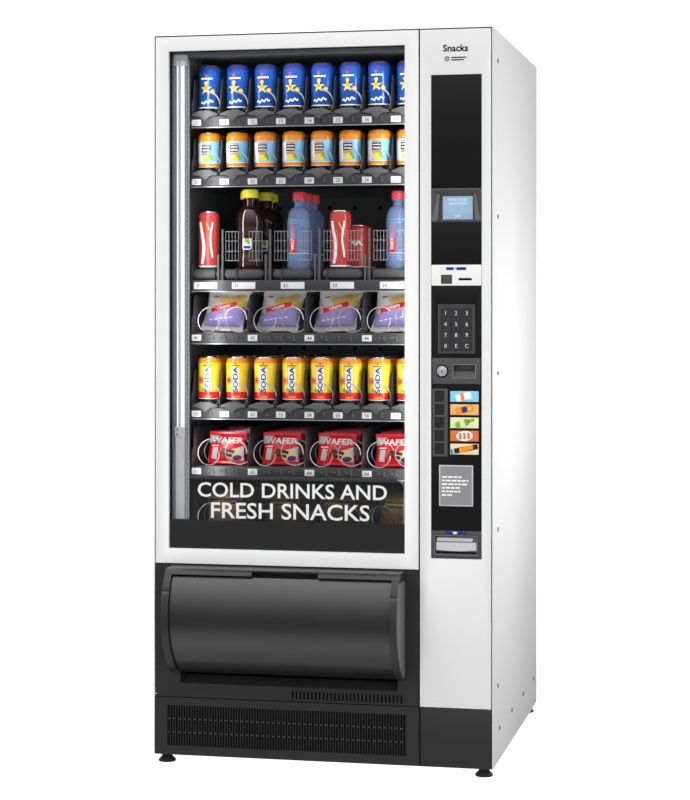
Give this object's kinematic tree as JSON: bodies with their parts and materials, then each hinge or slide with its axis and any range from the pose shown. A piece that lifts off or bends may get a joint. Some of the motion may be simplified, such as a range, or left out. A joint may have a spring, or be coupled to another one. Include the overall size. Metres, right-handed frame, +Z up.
{
  "type": "snack vending machine",
  "caption": "Free-standing glass-front snack and drinks vending machine with opening doors, trays, keypad, coin unit and a drum delivery flap.",
  "frame": {"origin": "centre of the object's footprint, drum included, at floor level", "axes": "+Z up, -Y out of the front, +X to the right when facing the front"},
  "size_m": [0.86, 1, 1.83],
  "materials": {
    "casing_white": "satin powder coat",
    "frame_white": "satin powder coat",
    "zinc_steel": "dull zinc",
    "chamber_black": "matte",
    "foot_rubber": "matte",
    "charcoal_paint": "satin powder coat",
    "charcoal_plastic": "fine moulded satin",
    "machine_black": "satin",
    "machine_plastic": "satin",
    "condenser_fins": "dull",
    "window_glass": "clear polished",
    "lamp_cover": "lit diffuser",
    "screen_mesh": "satin",
    "gloss_black": "gloss",
    "display_blue": "lit screen",
    "coin_white": "satin",
    "keypad_metal": "satin",
    "cell_black": "gloss",
    "lock_chrome": "polished",
    "cup_steel": "brushed",
    "spiral_steel": "bright wire",
    "tray_coat": "satin powder coat"
  },
  "bodies": {
    "cabinet": {"outer_shell": "casing_white", "back_panel": "zinc_steel", "base_frame": "zinc_steel", "inner_chamber": "chamber_black", "foot_front_left": "foot_rubber", "foot_front_right": "foot_rubber", "foot_rear_left": "foot_rubber", "foot_rear_right": "foot_rubber", "kick_grille": "charcoal_paint", "kick_plate": "charcoal_paint", "compressor": "machine_black", "condenser": "condenser_fins", "coin_changer": "machine_plastic"},
    "condenser_fan": {"condenser_fan": "machine_plastic"},
    "glass_door": {"door_frame": "frame_white", "door_glass": "window_glass", "delivery_fascia": "charcoal_plastic", "delivery_hood": "charcoal_plastic", "door_lamp": "lamp_cover", "banner_screen": "screen_mesh", "delivery_bin": "charcoal_plastic"},
    "delivery_flap": {"delivery_flap": "charcoal_plastic"},
    "column_door": {"column_panel": "casing_white", "control_fascia": "gloss_black", "display_bezel": "gloss_black", "display_screen": "display_blue", "coin_plate": "coin_white", "keypad_frame": "keypad_metal", "lock_plate": "charcoal_plastic", "selection_rail": "charcoal_plastic", "coin_cup": "gloss_black"},
    "coin_return_button": {"coin_return_button": "charcoal_plastic"},
    "lock_cylinder": {"lock_cylinder": "lock_chrome"},
    "coin_cup_flap": {"coin_cup_flap": "cup_steel"},
    "key_1": {"key_1": "keypad_metal"},
    "key_2": {"key_2": "keypad_metal"},
    "key_3": {"key_3": "keypad_metal"},
    "key_4": {"key_4": "keypad_metal"},
    "key_5": {"key_5": "keypad_metal"},
    "key_6": {"key_6": "keypad_metal"},
    "key_7": {"key_7": "keypad_metal"},
    "key_8": {"key_8": "keypad_metal"},
    "key_9": {"key_9": "keypad_metal"},
    "key_0": {"key_0": "keypad_metal"},
    "key_enter": {"key_enter": "keypad_metal"},
    "key_clear": {"key_clear": "keypad_metal"},
    "selection_button_1": {"selection_button_1": "cell_black"},
    "selection_button_2": {"selection_button_2": "cell_black"},
    "selection_button_3": {"selection_button_3": "cell_black"},
    "selection_button_4": {"selection_button_4": "cell_black"},
    "selection_button_5": {"selection_button_5": "cell_black"},
    "tray_1": {"tray_1": "tray_coat"},
    "tray_2": {"tray_2": "tray_coat"},
    "tray_3": {"tray_3": "tray_coat"},
    "tray_4": {"tray_4": "tray_coat"},
    "tray_5": {"tray_5": "tray_coat"},
    "tray_6": {"tray_6": "tray_coat"},
    "tray_7": {"tray_7": "tray_coat"},
    "spiral_left": {"spiral_left": "spiral_steel"},
    "spiral_right": {"spiral_right": "spiral_steel"}
  },
  "joints": [
    {"name": "glass_door_hinge", "type": "hinge", "parent": "cabinet", "child": "glass_door", "pos_m": [-0.42, -0.384, 0.9], "axis": [0, 0, -1], "range_deg": [0, 105]},
    {"name": "column_door_hinge", "type": "hinge", "parent": "cabinet", "child": "column_door", "pos_m": [0.42, -0.384, 0.9], "axis": [0, 0, 1], "range_deg": [0, 105]},
    {"name": "delivery_flap_hinge", "type": "hinge", "parent": "glass_door", "child": "delivery_flap", "pos_m": [-0.0829, -0.33, 0.385], "axis": [1, 0, 0], "range_deg": [0, 70], "stiffness_Nm_per_rad": 1.2, "springref_deg": -51.57},
    {"name": "condenser_fan_spin", "type": "hinge", "parent": "cabinet", "child": "condenser_fan", "pos_m": [-0.21, -0.299, 0.09], "axis": [0, 1, 0], "continuous": true},
    {"name": "coin_return_press", "type": "slide", "parent": "column_door", "child": "coin_return_button", "axis": [0, 1, 0], "range_m": [0, 0.004], "stiffness_N_per_m": 300},
    {"name": "lock_turn", "type": "hinge", "parent": "column_door", "child": "lock_cylinder", "pos_m": [0.3049, -0.39, 0.9904], "axis": [0, 1, 0], "range_deg": [0, 90]},
    {"name": "coin_cup_flap_hinge", "type": "hinge", "parent": "column_door", "child": "coin_cup_flap", "pos_m": [0.33895, -0.383, 0.5849], "axis": [1, 0, 0], "range_deg": [0, 45]},
    {"name": "key_1_press", "type": "slide", "parent": "column_door", "child": "key_1", "axis": [0, 1, 0], "range_m": [0, 0.0012], "stiffness_N_per_m": 400},
    {"name": "key_2_press", "type": "slide", "parent": "column_door", "child": "key_2", "axis": [0, 1, 0], "range_m": [0, 0.0012], "stiffness_N_per_m": 400},
    {"name": "key_3_press", "type": "slide", "parent": "column_door", "child": "key_3", "axis": [0, 1, 0], "range_m": [0, 0.0012], "stiffness_N_per_m": 400},
    {"name": "key_4_press", "type": "slide", "parent": "column_door", "child": "key_4", "axis": [0, 1, 0], "range_m": [0, 0.0012], "stiffness_N_per_m": 400},
    {"name": "key_5_press", "type": "slide", "parent": "column_door", "child": "key_5", "axis": [0, 1, 0], "range_m": [0, 0.0012], "stiffness_N_per_m": 400},
    {"name": "key_6_press", "type": "slide", "parent": "column_door", "child": "key_6", "axis": [0, 1, 0], "range_m": [0, 0.0012], "stiffness_N_per_m": 400},
    {"name": "key_7_press", "type": "slide", "parent": "column_door", "child": "key_7", "axis": [0, 1, 0], "range_m": [0, 0.0012], "stiffness_N_per_m": 400},
    {"name": "key_8_press", "type": "slide", "parent": "column_door", "child": "key_8", "axis": [0, 1, 0], "range_m": [0, 0.0012], "stiffness_N_per_m": 400},
    {"name": "key_9_press", "type": "slide", "parent": "column_door", "child": "key_9", "axis": [0, 1, 0], "range_m": [0, 0.0012], "stiffness_N_per_m": 400},
    {"name": "key_0_press", "type": "slide", "parent": "column_door", "child": "key_0", "axis": [0, 1, 0], "range_m": [0, 0.0012], "stiffness_N_per_m": 400},
    {"name": "key_enter_press", "type": "slide", "parent": "column_door", "child": "key_enter", "axis": [0, 1, 0], "range_m": [0, 0.0012], "stiffness_N_per_m": 400},
    {"name": "key_clear_press", "type": "slide", "parent": "column_door", "child": "key_clear", "axis": [0, 1, 0], "range_m": [0, 0.0012], "stiffness_N_per_m": 400},
    {"name": "selection_1_press", "type": "slide", "parent": "column_door", "child": "selection_button_1", "axis": [0, 1, 0], "range_m": [0, 0.002], "stiffness_N_per_m": 400},
    {"name": "selection_2_press", "type": "slide", "parent": "column_door", "child": "selection_button_2", "axis": [0, 1, 0], "range_m": [0, 0.002], "stiffness_N_per_m": 400},
    {"name": "selection_3_press", "type": "slide", "parent": "column_door", "child": "selection_button_3", "axis": [0, 1, 0], "range_m": [0, 0.002], "stiffness_N_per_m": 400},
    {"name": "selection_4_press", "type": "slide", "parent": "column_door", "child": "selection_button_4", "axis": [0, 1, 0], "range_m": [0, 0.002], "stiffness_N_per_m": 400},
    {"name": "selection_5_press", "type": "slide", "parent": "column_door", "child": "selection_button_5", "axis": [0, 1, 0], "range_m": [0, 0.002], "stiffness_N_per_m": 400},
    {"name": "tray_1_slide", "type": "slide", "parent": "cabinet", "child": "tray_1", "axis": [0, -1, 0], "range_m": [0, 0.045]},
    {"name": "tray_2_slide", "type": "slide", "parent": "cabinet", "child": "tray_2", "axis": [0, -1, 0], "range_m": [0, 0.045]},
    {"name": "tray_3_slide", "type": "slide", "parent": "cabinet", "child": "tray_3", "axis": [0, -1, 0], "range_m": [0, 0.045]},
    {"name": "tray_4_slide", "type": "slide", "parent": "cabinet", "child": "tray_4", "axis": [0, -1, 0], "range_m": [0, 0.045]},
    {"name": "tray_5_slide", "type": "slide", "parent": "cabinet", "child": "tray_5", "axis": [0, -1, 0], "range_m": [0, 0.045]},
    {"name": "tray_6_slide", "type": "slide", "parent": "cabinet", "child": "tray_6", "axis": [0, -1, 0], "range_m": [0, 0.045]},
    {"name": "tray_7_slide", "type": "slide", "parent": "cabinet", "child": "tray_7", "axis": [0, -1, 0], "range_m": [0, 0.045]},
    {"name": "spiral_left_turn", "type": "hinge", "parent": "tray_4", "child": "spiral_left", "pos_m": [-0.32863, -0.26, 1.1145], "axis": [0, 1, 0], "continuous": true},
    {"name": "spiral_right_turn", "type": "hinge", "parent": "tray_4", "child": "spiral_right", "pos_m": [-0.25562, -0.26, 1.1145], "axis": [0, 1, 0], "continuous": true}
  ],
  "couplings": [
    {"joint": "spiral_right_turn", "follows": "spiral_left_turn", "ratio": -1}
  ]
}
